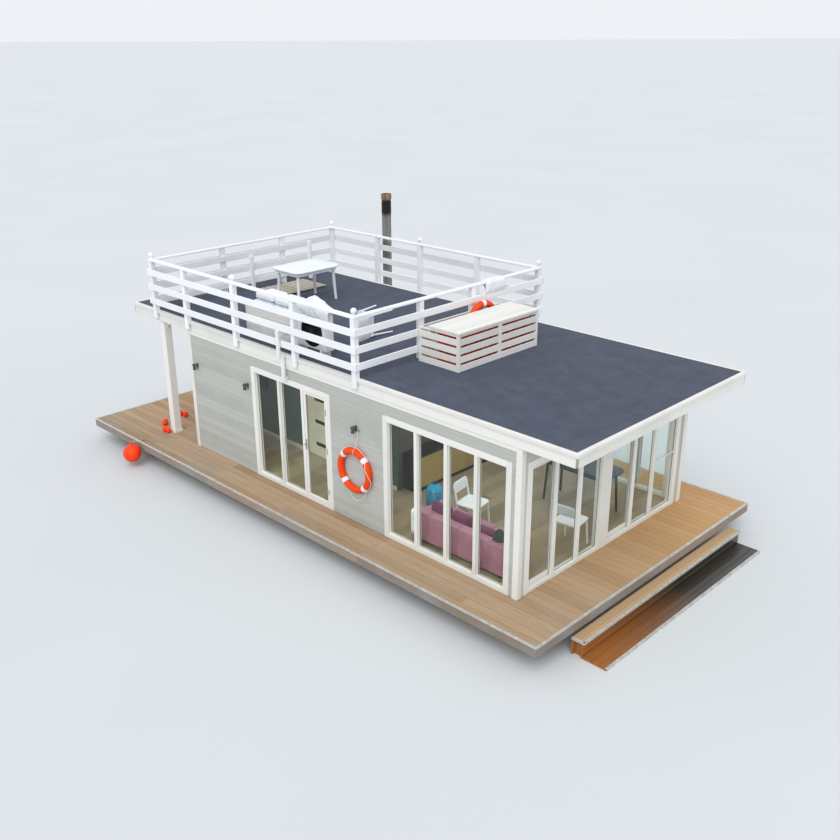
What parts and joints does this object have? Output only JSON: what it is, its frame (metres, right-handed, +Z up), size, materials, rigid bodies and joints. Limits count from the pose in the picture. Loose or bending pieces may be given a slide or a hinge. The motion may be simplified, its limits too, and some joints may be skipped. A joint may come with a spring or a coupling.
{
  "type": "houseboat",
  "caption": "Flat-roofed timber houseboat on box pontoons, with a planked deck, glazed saloon, railed roof terrace and front bathing steps.",
  "frame": {"origin": "midpoint of the bounding box in plan, at the flat bottoms of the pontoons", "axes": "+X to the front with the bathing steps, +Y to port, +Z up; the deck's planks are 0.95 m above the origin"},
  "size_m": [11.77, 6.2766, 5.14],
  "materials": {
    "white_paint": "satin white paint on timber",
    "grey_wall_paint": "matt light grey paint on boards",
    "larch": "weathered larch planks",
    "wet_hardwood": "wet hardwood",
    "grey_timber": "weathered grey timber",
    "cream_paint": "satin cream paint on boards",
    "laminate": "grey-brown laminate floor",
    "teal_wall_paint": "matt grey-green paint on boards",
    "oak_veneer": "satin oak veneer with black edges",
    "white_cloth": "white coated outdoor cloth",
    "white_rope": "white braided polyester rope",
    "dark_veneer": "dark satin veneer",
    "roof_felt": "slate grey mineral roofing felt",
    "hull_paint": "black antifouling on steel",
    "glass": "clear window glass",
    "stainless_steel": "sooted stainless steel",
    "orange_plastic": "orange moulded plastic with white bands",
    "orange_fabric": "orange woven nylon",
    "white_plastic": "white moulded plastic",
    "black_plastic": "black moulded plastic",
    "blue_plastic": "clear blue bottle plastic",
    "mauve_cloth": "mauve woven upholstery"
  },
  "bodies": {
    "hull": {"pontoon_starboard": "hull_paint", "pontoon_port": "hull_paint", "deck_frame": "grey_timber", "deck_planking": "larch", "bathing_steps": "wet_hardwood", "cabin_floor": "laminate", "wall_starboard": "grey_wall_paint", "wall_port": "grey_wall_paint", "wall_aft": "grey_wall_paint", "wall_front": "grey_wall_paint", "cabin_trim": "white_paint", "roof_core": "white_paint", "roof_fascia": "white_paint", "roof_felt": "roof_felt", "porch_post_starboard": "white_paint", "porch_post_port": "white_paint", "side_window_frame": "white_paint", "side_window_glass": "glass", "port_window_frame": "white_paint", "port_window_glass": "glass", "side_door_frame": "white_paint", "side_door_glass": "glass", "front_frame": "white_paint", "front_glass_starboard": "glass", "front_glass_port": "glass", "inner_walls": "teal_wall_paint", "sideboard": "oak_veneer", "railing_starboard": "white_paint", "railing_port": "white_paint", "railing_aft": "white_paint", "railing_front": "white_paint", "chest": "white_paint", "life_jackets": "orange_fabric", "aircon_unit": "white_plastic", "roof_locker": "white_paint", "stored_cushions": "white_cloth", "duckboard": "grey_timber", "terrace_table": "white_plastic", "terrace_chair": "white_plastic", "saloon_chair": "white_plastic", "front_chair": "white_plastic", "saloon_table": "dark_veneer", "wall_lifebuoy": "orange_plastic", "lifebuoy_line": "white_rope", "roof_lifebuoy": "orange_plastic", "flue": "stainless_steel", "sofa": "mauve_cloth", "water_bottle": "blue_plastic", "fender_starboard": "orange_plastic", "fender_port": "orange_plastic"},
    "side_door": {"side_door_leaf": "white_paint", "side_door_leaf_glass": "glass"},
    "front_door_starboard": {"front_leaf_starboard": "white_paint", "front_leaf_glass_starboard": "glass"},
    "front_door_port": {"front_leaf_port": "white_paint", "front_leaf_glass_port": "glass"},
    "aft_door": {"aft_door_leaf": "white_paint"},
    "inner_door": {"inner_door": "cream_paint"},
    "lid": {"chest_lid": "white_paint"},
    "fan": {"aircon_fan": "black_plastic"}
  },
  "joints": [
    {"name": "side_door_hinge", "type": "hinge", "parent": "hull", "child": "side_door", "pos_m": [0.541, -2.101, 1.9], "axis": [0, 0, 1], "range_deg": [0, 100]},
    {"name": "front_door_starboard_slide", "type": "slide", "parent": "hull", "child": "front_door_starboard", "axis": [0, 1, 0], "range_m": [0, 0.5]},
    {"name": "front_door_port_slide", "type": "slide", "parent": "hull", "child": "front_door_port", "axis": [0, 1, 0], "range_m": [0, 0.5]},
    {"name": "aft_door_hinge", "type": "hinge", "parent": "hull", "child": "aft_door", "pos_m": [-3.232, 0.407, 1.9], "axis": [0, 0, 1], "range_deg": [-100, 0]},
    {"name": "inner_door_hinge", "type": "hinge", "parent": "hull", "child": "inner_door", "pos_m": [-1.451, -0.836, 1.9], "axis": [0, 0, 1], "range_deg": [0, 95]},
    {"name": "lid_hinge", "type": "hinge", "parent": "hull", "child": "lid", "pos_m": [1.612, 0, 3.973], "axis": [0, -1, 0], "range_deg": [0, 80]},
    {"name": "fan_spin", "type": "hinge", "parent": "hull", "child": "fan", "pos_m": [-0.015, -1.8, 3.79], "axis": [0, 1, 0], "continuous": true}
  ]
}
